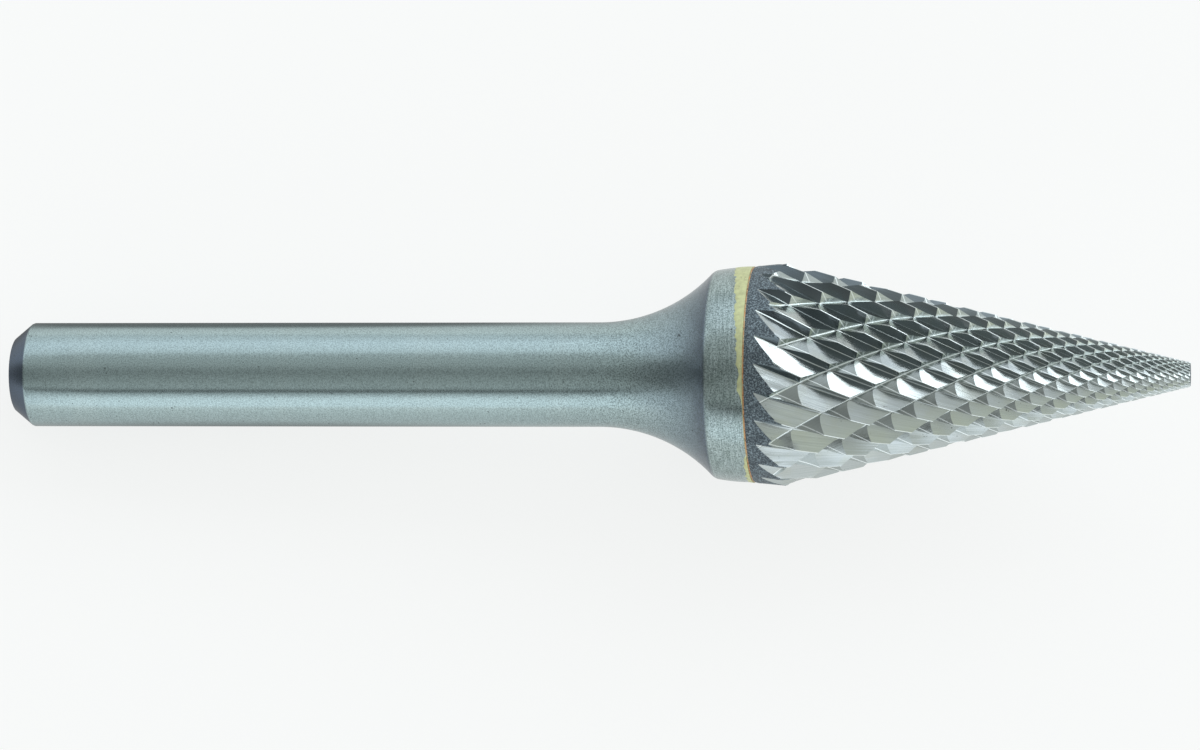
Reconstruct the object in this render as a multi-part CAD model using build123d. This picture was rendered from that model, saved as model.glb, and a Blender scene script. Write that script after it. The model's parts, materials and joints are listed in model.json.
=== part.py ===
# Carbide burr: a double-cut pointed-cone cutting head brazed to a round steel shank.
#
# The tool is modelled lying at rest, its tip towards +X.  It touches the surface at the rear edge
# of the shank and at the widest ring of the head, so its axis climbs slightly towards the tip.
# Lengths are in millimetres.  Angles round the axis are counted from -Y up towards +Z.

from build123d import *
from math import asin, atan2, ceil, cos, degrees, exp, floor, log, pi, radians, sin, sqrt, tan
import os

# ---- shank ---------------------------------------------------------------------------------
shank_diameter = 6.0          # collet size
shank_grip_length = 33.2      # plain cylinder that a collet can hold
shank_end_diameter = 4.2      # flat at the rear end, inside the chamfer
shank_chamfer_length = 1.1
flare_radius = 9.1            # hollow sweep from the shank out to the collar
collar_edge_diameter = 11.9   # where the sweep ends
collar_diameter = 12.3        # at the brazed joint
collar_length = 2.0
collar_crown = 0.05           # how far the collar bulges past a straight cone
collar_edge_break = 0.25      # small round between the sweep and the collar

# ---- brazed joint --------------------------------------------------------------------------
filler_thickness = 0.22
shim_thickness = 0.08         # copper core that takes up the shrinkage of the two metals

# ---- cutting head --------------------------------------------------------------------------
head_diameter = 12.7          # over the teeth at the widest ring
head_length = 24.75
head_base_diameter = 12.3
rim_round_length = 0.35       # rounded rear edge
rim_round_diameter = 12.44
rim_length = 1.75             # joint face to the widest ring
tip_diameter = 1.4            # small flat at the point

# ---- teeth ---------------------------------------------------------------------------------
flutes = 24                   # right-hand main flutes
cross_cuts = 14               # left-hand chip-breaking cuts
flute_helix = 24.0            # degrees from the axis, the same all along the cone
cross_cut_helix = 25.5
flute_depth = 0.115           # share of the local radius
cross_cut_depth = 0.107
back_share = 0.74             # share of the flute pitch taken by the sloping tooth back
back_hollow = 0.35            # 0 would make the tooth back straight
cross_back_share = 0.45       # share of the cross-cut pitch taken by its long slope
cross_wall_share = 0.10       # and by its steep wall
first_flute_angle = 2.9       # at the widest ring
first_cross_cut_angle = 14.6
flute_mouth_setback = 1.65    # the flute roots leave the cone this far behind the widest ring
land_length = 0.35            # uncut lands end this far in front of it
run_in_length = 2.8           # the flutes reach full depth this far in front of it
run_in_share = 0.62           # share of full depth where the lands end


# ---- values that follow from the sizes above -----------------------------------------------
shank_radius = shank_diameter / 2
collar_edge_radius = collar_edge_diameter / 2
collar_radius = collar_diameter / 2
head_radius = head_diameter / 2
tip_radius = tip_diameter / 2

flare_rise = collar_edge_radius - shank_radius
flare_length = sqrt(flare_radius**2 - (flare_radius - flare_rise) ** 2)
flare_start = shank_chamfer_length + shank_grip_length
collar_start = flare_start + flare_length
shank_end = collar_start + collar_length
shim_start = shank_end + filler_thickness
head_start = shim_start + shim_thickness
ring_position = head_start + rim_length
tip_position = head_start + head_length

taper = atan2(head_radius - tip_radius, head_length - rim_length)
resting_tilt = atan2(head_radius - shank_radius, ring_position - shank_chamfer_length)


def turned(outline):
    """A solid of revolution about the tool's axis from a closed outline in the XY plane."""
    return revolve(make_face(outline), Axis.X)


# ---- turned pieces -------------------------------------------------------------------------
def make_shank():
    half_sweep = asin(flare_length / flare_radius) / 2
    end_radius = shank_end_diameter / 2
    centre = (flare_start, shank_radius + flare_radius)
    sweep_middle = (
        centre[0] + flare_radius * sin(half_sweep),
        centre[1] - flare_radius * cos(half_sweep),
    )
    collar_middle = (
        collar_start + collar_length / 2,
        (collar_edge_radius + collar_radius) / 2 + collar_crown,
    )
    outline = Curve() + [
        Polyline((flare_start, shank_radius), (shank_chamfer_length, shank_radius), (0, end_radius), (0, 0)),
        Polyline((0, 0), (shank_end, 0), (shank_end, collar_radius)),
        ThreePointArc((flare_start, shank_radius), sweep_middle, (collar_start, collar_edge_radius)),
        ThreePointArc((collar_start, collar_edge_radius), collar_middle, (shank_end, collar_radius)),
    ]
    shank = turned(outline)
    edges = shank.edges().filter_by(GeomType.CIRCLE)
    collar_edge = edges.sort_by(lambda edge: abs(edge.center().X - collar_start))[0]
    return fillet(collar_edge, collar_edge_break)


def make_joint_disc(start, end):
    """A thin disc of the brazed joint, flush with the collar."""
    return turned(Polyline((start, 0), (start, collar_radius), (end, collar_radius), (end, 0), close=True))


# ---- cutting head --------------------------------------------------------------------------
# The teeth are laid out on a net of flute roots and cross-cut roots.  Both kinds of cut cross
# the cone at a constant angle, so in the developed coordinate `reach` (the distance along the
# cone divided by the radius, summed up) every root is a straight line.

flute_pitch = 2 * pi / flutes
cross_pitch = 2 * pi / cross_cuts
flute_slope = tan(radians(flute_helix))
cross_slope = tan(radians(cross_cut_helix))
phase_offset = radians(first_flute_angle - first_cross_cut_angle)

mouth_reach = -flute_mouth_setback / head_radius
lands_end_reach = land_length / head_radius
full_depth_reach = run_in_length / head_radius


def cone_point(reach):
    """Position along the axis and radius of the tooth tips."""
    if reach < 0:
        return ring_position + head_radius * reach, head_radius
    radius = head_radius * exp(-reach * sin(taper))
    return ring_position + (head_radius - radius) / tan(taper), radius


def depth_factor(reach):
    """The cuts deepen from the ends of the lands to their full depth."""
    share = (reach - lands_end_reach) / (full_depth_reach - lands_end_reach)
    return run_in_share + (1 - run_in_share) * min(1, max(0, share))


def lift(reach):
    """Height of both cutters over the cone where they leave the work behind the widest ring."""
    share = (lands_end_reach - reach) / (lands_end_reach - mouth_reach)
    return max(0, share) * run_in_share * flute_depth * head_radius


def net_point(flute, cross_cut, depth):
    """A point of the toothed skin from its place in the net and its depth below the cone."""
    reach = (phase_offset + flute * flute_pitch - cross_cut * cross_pitch) / (flute_slope + cross_slope)
    angle = radians(first_flute_angle) + flute * flute_pitch - flute_slope * reach
    along, radius = cone_point(reach)
    radius = radius * (1 - depth * depth_factor(reach)) + lift(reach)
    return Vector(along, -radius * cos(angle), radius * sin(angle))


def back_depth(share):
    """Depth of the hollow-ground tooth back, by its share of the way from root to tooth tip."""
    return flute_depth * (1 - (1 - back_hollow) * share - back_hollow * share**2)


def back_share_at(depth):
    """The opposite of back_depth."""
    rise = 1 - depth / flute_depth
    straight = 1 - back_hollow
    return 2 * rise / (straight + sqrt(straight**2 + 4 * back_hollow * rise))


middle_share = 0.5
middle_depth = back_depth(middle_share)
notch_share = 1 - middle_depth / cross_cut_depth
back_middle = back_share * middle_share
back_low = back_share * back_share_at(cross_cut_depth)
wall_low = back_share + (1 - back_share) * cross_cut_depth / flute_depth


def tooth(flute, cross_cut):
    """The planar facets of one tooth, between two flute roots and two cross-cut roots."""

    def at(down, along, depth):
        return net_point(flute - down, cross_cut - along, depth)

    root_a, root_b = at(0, 0, flute_depth), at(0, 1, flute_depth)
    next_a, next_b = at(1, 0, flute_depth), at(1, 1, flute_depth)
    notch_back, notch_wall = at(back_low, 0, cross_cut_depth), at(wall_low, 0, cross_cut_depth)
    step_back, step_wall = at(back_low, 1, cross_cut_depth), at(wall_low, 1, cross_cut_depth)
    middle_a = at(back_middle, cross_back_share * notch_share, middle_depth)
    middle_b = at(back_middle, 1 - cross_wall_share * notch_share, middle_depth)
    edge_a = at(back_share, cross_back_share, 0)
    edge_b = at(back_share, 1 - cross_wall_share, 0)

    tooth_back = [
        (root_a, notch_back, middle_a),
        (root_a, middle_a, middle_b),
        (root_a, middle_b, root_b),
        (root_b, middle_b, step_back),
        (middle_a, edge_a, edge_b),
        (middle_a, edge_b, middle_b),
    ]
    cutting_face = [
        (notch_wall, next_a, edge_a),
        (edge_a, next_a, next_b),
        (edge_a, next_b, edge_b),
        (edge_b, next_b, step_wall),
    ]
    chip_notch = [(notch_back, notch_wall, middle_a), (middle_a, notch_wall, edge_a)]
    chip_step = [(step_back, middle_b, step_wall), (middle_b, edge_b, step_wall)]
    return tooth_back + cutting_face + chip_notch + chip_step


def open_edges(facets):
    """The edges that only one facet uses, each in the direction in which that facet uses it."""
    edges = {}
    for facet in facets:
        for start, end in zip(facet, facet[1:] + facet[:1]):
            key = tuple(round(value, 5) for value in start), tuple(round(value, 5) for value in end)
            if edges.pop(key[::-1], None) is None:
                edges[key] = (start, end)
    return list(edges.values())


def make_toothed_body():
    """The net of teeth all round, a little longer than the head and closed at both ends."""
    tip_reach = log(head_radius / tip_radius) / sin(taper)
    rear_reach = -(rim_length + 0.1 * head_radius) / head_radius
    slopes = flute_slope + cross_slope
    facets = []
    for flute in range(flutes):
        start = phase_offset + flute * flute_pitch
        rearmost = ceil((start - rear_reach * slopes) / cross_pitch)
        foremost = floor((start - flute_pitch - tip_reach * slopes) / cross_pitch)
        for cross_cut in range(foremost, rearmost + 1):
            facets += tooth(flute, cross_cut)

    rim = open_edges(facets)
    front_rim = [edge for edge in rim if edge[0].X > ring_position]
    rear_rim = [edge for edge in rim if edge[0].X <= ring_position]
    front_end = Vector(max(start.X for start, _ in front_rim) + tip_radius, 0, 0)
    rear_end = Vector(min(start.X for start, _ in rear_rim) - head_radius / 4, 0, 0)
    facets += [(end, start, front_end) for start, end in front_rim]
    facets += [(end, start, rear_end) for start, end in rear_rim]
    return Solid(Shell([Face(Wire.make_polygon(facet)) for facet in facets]))


def make_head():
    """The sintered blank, cut by the flutes and cross-cuts."""
    base_radius = head_base_diameter / 2
    round_end = (head_start + rim_round_length, rim_round_diameter / 2)
    round_middle = (
        head_start + rim_round_length * 0.4,
        base_radius + (rim_round_diameter / 2 - base_radius) * 0.65,
    )
    clear = 0.01                      # the blank stands this far past the tooth tips
    outline = Curve() + [
        ThreePointArc((head_start, base_radius), round_middle, round_end),
        Polyline(
            round_end,
            (ring_position, head_radius + clear),
            (tip_position, tip_radius + clear),
            (tip_position, 0),
            (head_start, 0),
            (head_start, base_radius),
        ),
    ]
    return make_toothed_body() & turned(outline)


# ---- assembly and export -------------------------------------------------------------------
pieces = {
    "shank": make_shank(),
    "braze_filler": make_joint_disc(shank_end, shim_start),
    "copper_shim": make_joint_disc(shim_start, head_start),
    "cutting_head": make_head(),
}

laid_down = {name: piece.rotate(Axis.Y, -degrees(resting_tilt)) for name, piece in pieces.items()}
box = Compound(list(laid_down.values())).bounding_box()
to_origin = Vector(-(box.min.X + box.max.X) / 2, -(box.min.Y + box.max.Y) / 2, -box.min.Z)

os.makedirs("parts", exist_ok=True)
for name, piece in laid_down.items():
    export_step(piece.translate(to_origin), f"parts/{name}.step")

rear_centre = Vector(0, 0, 0).rotate(Axis.Y, -degrees(resting_tilt)) + to_origin
print("rear centre", rear_centre, "axis tilt", degrees(resting_tilt), "size", box.size)
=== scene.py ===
import json
from math import asin, atan, cos, log, pi, radians, sin, sqrt, tan

import bmesh
import bpy
from bpy.props import FloatProperty, FloatVectorProperty, IntProperty, PointerProperty
from bpy.types import Operator, Panel, PropertyGroup
from mathutils import Matrix, Vector, noise


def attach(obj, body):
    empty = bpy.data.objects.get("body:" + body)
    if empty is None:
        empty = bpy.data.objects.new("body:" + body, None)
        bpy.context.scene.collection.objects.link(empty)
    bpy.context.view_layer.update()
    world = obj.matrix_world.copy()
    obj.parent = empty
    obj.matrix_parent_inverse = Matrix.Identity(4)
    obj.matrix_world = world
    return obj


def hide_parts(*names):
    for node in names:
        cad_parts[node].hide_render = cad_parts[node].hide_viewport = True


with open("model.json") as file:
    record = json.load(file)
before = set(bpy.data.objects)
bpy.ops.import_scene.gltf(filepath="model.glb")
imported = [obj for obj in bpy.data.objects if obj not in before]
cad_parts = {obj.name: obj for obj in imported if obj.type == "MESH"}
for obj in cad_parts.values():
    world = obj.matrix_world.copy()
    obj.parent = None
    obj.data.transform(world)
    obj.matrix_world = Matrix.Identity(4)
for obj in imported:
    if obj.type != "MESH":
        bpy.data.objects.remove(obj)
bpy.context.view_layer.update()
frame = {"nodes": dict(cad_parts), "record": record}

bl_info = {
    "name": "Carbide burr dresser",
    "version": (1, 0, 0),
    "blender": (4, 5, 0),
    "location": "View3D > Sidebar > Burr",
    "description": "Turns the shank, runs the braze and grinds the teeth of a double-cut burr",
    "category": "Object",
}

# ---- where the tool lies, read from the frame ------------------------------------------------
MM = 0.001
SHANK_MOUNT = next(mount for mount in frame["record"]["mounts"] if mount["name"] == "shank")
SHANK_RADIUS = SHANK_MOUNT["dims"]["r_mm"] * MM
GRIP_LENGTH = SHANK_MOUNT["dims"]["length_mm"] * MM
AXIS = -Vector(SHANK_MOUNT["axis"]).normalized()
GRIP_MIDDLE = Vector(SHANK_MOUNT["pos_m"])


def reach_along(node):
    """How far a node starts and ends along the tool's axis, from the middle of the grip."""
    along = [(vertex.co - GRIP_MIDDLE).dot(AXIS) for vertex in frame["nodes"][node].data.vertices]
    return min(along), max(along)


# places along the axis, from the rear end
REAR, SHANK_FRONT = reach_along("shank")
REAR_CENTRE = GRIP_MIDDLE + AXIS * REAR
SHANK_END = SHANK_FRONT - REAR
SHIM_START = reach_along("copper_shim")[0] - REAR
HEAD_START, TIP = (place - REAR for place in reach_along("cutting_head"))
CHAMFER_LENGTH = -REAR - GRIP_LENGTH / 2
FLARE_START = CHAMFER_LENGTH + GRIP_LENGTH

TILT = asin(AXIS.z)
TOOL_MATRIX = Matrix.Translation(REAR_CENTRE) @ Matrix.Rotation(-TILT, 4, "Y")

# ---- where the camera is ---------------------------------------------------------------------
CAMERA_TURN = radians(77.2)            # round the tool's axis, from -Y up
TIP_TOWARDS_CAMERA = radians(8.2)
IMAGE_WIDTH_PX = 1200
FOCAL_LENGTH_PX = 5850.0
SENSOR_MM = 36.0
CAMERA_DISTANCE = 335.8 * MM
AXIS_ROW_OFFSET_PX = 0.4               # the axis stands this far above the middle of the view


# ---- sizes and colours that a user would change ----------------------------------------------
def length(name, mm, description):
    return FloatProperty(
        name=name, default=mm * MM, description=description, unit="LENGTH", precision=5
    )


def share(name, default, description):
    return FloatProperty(
        name=name, default=default, min=0, max=1, description=description, subtype="FACTOR"
    )


def angle(name, degrees, description):
    return FloatProperty(
        name=name, default=radians(degrees), description=description, unit="ROTATION"
    )


def number(name, default, least, description):
    return IntProperty(name=name, default=default, min=least, description=description)


def strength(name, default, description):
    return FloatProperty(name=name, default=default, min=0, description=description)


def colour(name, default, description):
    return FloatVectorProperty(
        name=name, default=default, size=3, min=0, max=1, description=description, subtype="COLOR"
    )


class ShankSettings(PropertyGroup):
    end_radius: length("End radius", 2.1, "Flat at the rear end, inside the chamfer")
    flare_radius: length("Flare radius", 9.1, "Hollow sweep from the shank out to the collar")
    collar_edge_radius: length("Collar edge radius", 5.95, "Where the sweep ends")
    collar_length: length("Collar length", 2.0, "From the sweep to the brazed joint")
    collar_radius: length("Collar radius", 6.15, "Collar at the brazed joint")
    collar_crown: length("Collar crown", 0.05, "How far the collar bulges past a straight cone")
    edge_break: length("Edge break", 0.22, "Small round between the sweep and the collar")
    steel: colour("Steel", (0.46, 0.59, 0.60), "Ground tool steel")
    chamfer_steel: colour("Chamfer steel", (0.10, 0.125, 0.175), "Darker steel of the chamfer")
    # the oxide tint is partly real oxide and partly a painted reflection of the dark side of the
    # room on the flare
    oxide_and_dark_reflection: colour("Oxide and dark reflection", (0.24, 0.31, 0.37), "Blue-grey oxide near the collar")
    collar_steel: colour("Collar steel", (0.54, 0.66, 0.66), "Turned, slightly stained collar")


class BrazeSettings(PropertyGroup):
    smear_thickness: length("Smear thickness", 0.035, "Height of the filler over the collar")
    filler: colour("Filler", (0.64, 0.68, 0.38), "Pale yellow silver braze")
    copper: colour("Copper", (0.62, 0.33, 0.16), "Edge of the copper shim")


class HeadSettings(PropertyGroup):
    head_radius: length("Head radius", 6.35, "Over the teeth at the widest ring")
    tip_radius: length("Tip radius", 0.70, "Small flat at the point")
    base_radius: length("Base radius", 6.15, "Head at the brazed joint")
    rim_round_length: length("Rim round length", 0.35, "Rounded rear edge")
    rim_round_radius: length("Rim round radius", 6.22, "Where the rear edge's round ends")
    rim_length: length("Rim length", 1.75, "Joint face to the widest ring")
    flutes: number("Flutes", 24, 3, "Right-hand main flutes")
    cross_cuts: number("Cross-cuts", 14, 2, "Left-hand chip breakers")
    flute_helix: angle("Flute helix", 24.0, "Angle of the flutes to the cone's own lines")
    cross_helix: angle("Cross-cut helix", 25.5, "Angle of the cross-cuts to those lines")
    flute_depth: share("Flute depth", 0.115, "Share of the local radius")
    cross_depth: share("Cross-cut depth", 0.107, "Share of the local radius")
    back_share: share("Back share", 0.74, "Share of the flute pitch that the tooth back takes")
    back_hollow: share("Back hollow", 0.30, "0 makes the tooth back straight")
    cross_back: share("Cross-cut slope", 0.45, "Long slope, as a share of the cross-cut pitch")
    cross_wall: share("Cross-cut wall", 0.085, "Steep wall, as a share of the cross-cut pitch")
    root_floor: share("Flute floor", 0.045, "Flat at the root, as a share of the flute pitch")
    cross_floor: share("Cross-cut floor", 0.040, "Flat at the root, as a share of its pitch")
    edge_land: share("Edge land", 0.030, "Worn flat on each cutting edge")
    first_flute: angle("First flute", 2.9, "At the widest ring, from the level line up")
    first_cross_cut: angle("First cross-cut", 14.6, "At the widest ring, as the first flute")
    cross_start: length("Cross-cut start", 0.85, "The cross-cuts start this far behind the ring")
    mouth_setback: length("Mouth setback", 1.65, "The flutes start this far behind the ring")
    land_length: length("Land length", 0.35, "Uncut lands end this far in front of it")
    run_in_length: length("Run-in length", 2.8, "Full depth is reached this far in front of it")
    run_in_share: share("Run-in share", 0.62, "Share of full depth where the lands end")
    ground: colour("Ground carbide", (0.50, 0.55, 0.55), "Freshly ground tooth faces")
    skin: colour("Sintered skin", (0.085, 0.105, 0.12), "Unground skin of the blank")


class StageSettings(PropertyGroup):
    floor_colour: colour("Floor", (0.99, 1.0, 0.995), "Plain pale floor")
    floor_glow: share("Floor glow", 0.80, "Share of the floor's white, as seen, that is its own")
    floor_in_metal: strength("Floor in metal", 1.08, "The floor, away from the tool, as mirrored")
    softbox_colour: colour("Softbox", (0.95, 0.99, 1.0), "Light of both softboxes")
    far_softbox: strength("Far softbox", 1.6, "Brightness of its face")
    near_softbox: strength("Near softbox", 0.34, "Brightness of its face")


# ---- writing node trees ----------------------------------------------------------------------
FLOAT, VECTOR = "NodeSocketFloat", "NodeSocketVector"


class Field:
    """A value in a node tree. Sums and products of fields add the nodes that work them out."""

    def __init__(self, net, socket):
        self.net = net
        self.socket = socket

    def __add__(self, other):
        return self.net.math("ADD", self, other)

    def __sub__(self, other):
        return self.net.math("SUBTRACT", self, other)

    def __rsub__(self, other):
        return self.net.math("SUBTRACT", other, self)

    def __mul__(self, other):
        return self.net.math("MULTIPLY", self, other)

    def __truediv__(self, other):
        return self.net.math("DIVIDE", self, other)

    def __rtruediv__(self, other):
        return self.net.math("DIVIDE", other, self)

    __radd__ = __add__
    __rmul__ = __mul__


class Net:
    """Adds nodes to a tree and joins them up."""

    def __init__(self, tree):
        self.tree = tree

    def join(self, value, socket):
        if isinstance(value, Field):
            value = value.socket
        if isinstance(value, bpy.types.NodeSocket):
            self.tree.links.new(value, socket)
        else:
            socket.default_value = value

    def node(self, kind, inputs=None, **settings):
        node = self.tree.nodes.new(kind)
        for name, value in settings.items():
            setattr(node, name, value)
        for name, value in (inputs or {}).items():
            self.join(value, node.inputs[name])
        return node

    def field(self, kind, inputs=None, output=0, **settings):
        return Field(self, self.node(kind, inputs, **settings).outputs[output])

    def math(self, operation, *values, clamp=False):
        inputs = dict(enumerate(values))
        return self.field("ShaderNodeMath", inputs, operation=operation, use_clamp=clamp)

    def least(self, a, b):
        return self.math("MINIMUM", a, b)

    def most(self, a, b):
        return self.math("MAXIMUM", a, b)

    def size_of(self, value):
        return self.math("ABSOLUTE", value)

    def above(self, value, limit):
        """1 where the value is above the limit, 0 elsewhere."""
        return self.math("GREATER_THAN", value, limit)

    def clamped(self, value):
        return self.math("ADD", value, 0.0, clamp=True)

    def rising(self, value, start, steepness):
        """0 up to the start, then up to 1 at the given steepness."""
        return self.clamped((value - start) * steepness)

    def falling(self, value, end, steepness):
        """1 far below the end, then down to 0 at it, at the given steepness."""
        return self.clamped((end - value) * steepness)

    def vector(self, x=0.0, y=0.0, z=0.0):
        return self.field("ShaderNodeCombineXYZ", {0: x, 1: y, 2: z})

    def parts(self, vector):
        outputs = self.node("ShaderNodeSeparateXYZ", {0: vector}).outputs
        return [Field(self, output) for output in outputs]

    def ramp(self, factor, stops):
        """Reads a level off a table of up to 32 rows, (place, level), all from 0 to 1."""
        node = self.node("ShaderNodeValToRGB", {0: factor})
        elements = node.color_ramp.elements
        while len(elements) < len(stops):
            elements.new(0.5)
        for element, (position, level) in zip(elements, stops):
            element.position = position
            element.color = (level, level, level, 1)
        return Field(self, node.outputs[0])

    def layered(self, colour, *layers):
        """Lays colours over one another, each given as (mask, colour)."""
        for mask, top in layers:
            node = self.node("ShaderNodeMix", {0: mask}, data_type="RGBA")
            for value, socket in ((colour, node.inputs[6]), (top, node.inputs[7])):
                self.join(value if isinstance(value, Field) else (*value, 1), socket)
            colour = Field(self, node.outputs[2])
        return colour

    def noise(self, vector, scale, detail=2.0, roughness=0.5):
        values = {"Vector": vector, "Scale": scale, "Detail": detail, "Roughness": roughness}
        return self.field("ShaderNodeTexNoise", values)

    def blend_shaders(self, share, first, second, surface):
        both = self.node(
            "ShaderNodeMixShader", {0: share, 1: first.outputs[0], 2: second.outputs[0]}
        )
        self.join(both.outputs[0], surface)


def new_group(name, kind, inputs, outputs):
    """A node group with named sockets, each given as (name, type, default)."""
    tree = bpy.data.node_groups.new(name, kind)
    for in_out, sockets in (("INPUT", inputs), ("OUTPUT", outputs)):
        for socket_name, socket_type, *default in sockets:
            socket = tree.interface.new_socket(
                socket_name, in_out=in_out, socket_type=socket_type
            )
            if default:
                socket.default_value = default[0]
    net = Net(tree)
    source = tree.nodes.new("NodeGroupInput")
    sink = tree.nodes.new("NodeGroupOutput")
    given = {socket.name: Field(net, socket) for socket in source.outputs if socket.name}
    return net, given, sink.inputs


def use_group(net, name, inputs):
    node = net.node("ShaderNodeGroup", inputs, node_tree=bpy.data.node_groups[name])
    return {output.name: Field(net, output) for output in node.outputs}


# ---- surface effects that several finishes share ---------------------------------------------
# All their coordinates and sizes are in millimetres, or in steps of the net of teeth.
BROAD_MARKS = 0.23                     # broad wheel marks, for each fine one
FINE_LENGTH, BROAD_LENGTH = 0.6, 0.35  # ends of the fine and the broad marks, per unit along
PATCHES = 0.31                         # patches of specks, for each speck


def make_grinding_group():
    """Fine wheel marks that run along the second of the given coordinates."""
    net, given, sink = new_group(
        "Wheel marks",
        "ShaderNodeTree",
        [("Coordinates", VECTOR), ("Spacing", FLOAT, 1.0), ("Unevenness", FLOAT, 0.5)],
        [("Height", FLOAT), ("Tone", FLOAT)],
    )
    across, along, depth = net.parts(given["Coordinates"])
    across = across / given["Spacing"]
    long = net.vector(across, along * FINE_LENGTH, depth)
    fine = net.noise(long, scale=1.0, detail=3.0, roughness=0.65)
    longer = net.vector(across * BROAD_MARKS, along * BROAD_LENGTH, depth)
    broad = net.noise(longer, scale=1.0, detail=1.0)
    uneven = given["Unevenness"]
    net.join(fine * (1.0 - uneven) + broad * uneven, sink["Height"])
    net.join(net.ramp(fine, [(0.32, 0.0), (0.68, 1.0)]), sink["Tone"])


def make_speckle_group():
    """Small pits and specks of dust or stain, gathered in patches."""
    net, given, sink = new_group(
        "Specks",
        "ShaderNodeTree",
        [("Coordinates", VECTOR), ("Size", FLOAT, 1.0), ("Amount", FLOAT, 0.3)],
        [("Mask", FLOAT)],
    )
    scale = 1.0 / given["Size"]
    cells = {"Vector": given["Coordinates"], "Scale": scale}
    from_middle = net.field("ShaderNodeTexVoronoi", cells, feature="F1")
    patches = net.noise(given["Coordinates"], scale * PATCHES, detail=3.0)
    reach = net.rising(patches, 1.0 - given["Amount"], 3.0) * 0.45
    net.join(net.falling(from_middle, reach, 6.0), sink["Mask"])


def wheel_marks(net, coordinates, spacing, unevenness=0.5):
    values = {"Coordinates": coordinates, "Spacing": spacing, "Unevenness": unevenness}
    marks = use_group(net, "Wheel marks", values)
    return marks["Height"], marks["Tone"]


def specks_on(net, coordinates, size, amount):
    values = {"Coordinates": coordinates, "Size": size, "Amount": amount}
    return use_group(net, "Specks", values)["Mask"]


# ---- finishes --------------------------------------------------------------------------------
# colours of the marks and stains; the main colours are settings
# the third colour is deep oxide that also serves as a painted dark reflection on the flare
DULL_STEEL, BRIGHT_STEEL, DEEP_OXIDE_AND_DARK_REFLECTION = (0.34, 0.44, 0.44), (0.52, 0.62, 0.61), (0.105, 0.13, 0.18)
COLLAR_STAIN, TURNING_MARK = (0.40, 0.50, 0.48), (0.20, 0.27, 0.26)
STEEL_GRAIN, STEEL_SPECK = (0.09, 0.115, 0.115), (0.07, 0.08, 0.08)
DULL_FILLER, FILLER_SPECK = (0.50, 0.52, 0.30), (0.12, 0.13, 0.09)
FILLER_ON_COPPER, DARK_COPPER = (0.50, 0.43, 0.27), (0.10, 0.07, 0.05)
DULL_CARBIDE, WARM_CARBIDE = (0.36, 0.41, 0.40), (0.45, 0.48, 0.41)
SHADED_WALL, SHADED_NOTCH = (0.05, 0.078, 0.098), (0.24, 0.28, 0.27)
# the first colour is a painted highlight along the crests and the cross-cut steps
PAINTED_EDGE_HIGHLIGHT, CARBIDE_SPECK = (0.86, 0.93, 0.93), (0.07, 0.08, 0.07)
SKIN_GRAIN, SKIN_STAIN = (0.33, 0.41, 0.45), (0.05, 0.06, 0.07)

OXIDE_AND_REFLECTION_LENGTH = 4.6                     # mm of the sweep, back from the collar
TURNING_STRETCH = 1.1                  # the collar's turning marks are this much shorter round it
BAND_SCALE = (0.35, 0.04, 0.04)        # faint bands round the shank, per mm along and across
GRAIN_FROM, GRAIN_LENGTH = -6.0, 8.0   # mm from the sweep's start, and until it is strongest
# how far the painted edge highlights reach from an edge, in mm, and how steeply they fade
CREST_LINE, STEP_LINE = (2 / 55, 55.0), (0.08, 30.0)


def new_material(name):
    """A material with one Principled shader, joined to its output."""
    material = bpy.data.materials.new(name)
    material.use_nodes = True
    material.node_tree.nodes.clear()
    net = Net(material.node_tree)
    shader = net.node("ShaderNodeBsdfPrincipled")
    output = net.node("ShaderNodeOutputMaterial")
    net.join(shader.outputs[0], output.inputs["Surface"])
    return material, net, shader


def tool_coordinates(net):
    """Object coordinates turned to the tool: X along its axis from the rear end, in millimetres."""
    position = net.node("ShaderNodeTexCoord").outputs["Object"]
    moved = net.field(
        "ShaderNodeVectorMath", {0: position, 1: tuple(REAR_CENTRE)}, operation="SUBTRACT"
    )
    turned = net.field(
        "ShaderNodeVectorRotate", {"Vector": moved, "Angle": TILT}, rotation_type="Y_AXIS"
    )
    return net.field("ShaderNodeVectorMath", {0: turned, "Scale": 1 / MM}, operation="SCALE")


def finish_surface(net, shader, colour, metallic, roughness, height, depth):
    """Joins a finish's colour, roughness and bump, its depth in millimetres, to its shader."""
    net.join(colour, shader.inputs["Base Color"])
    shader.inputs["Metallic"].default_value = metallic
    net.join(roughness, shader.inputs["Roughness"])
    bump = net.field("ShaderNodeBump", {"Distance": depth * MM, "Height": height})
    net.join(bump, shader.inputs["Normal"])


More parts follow.
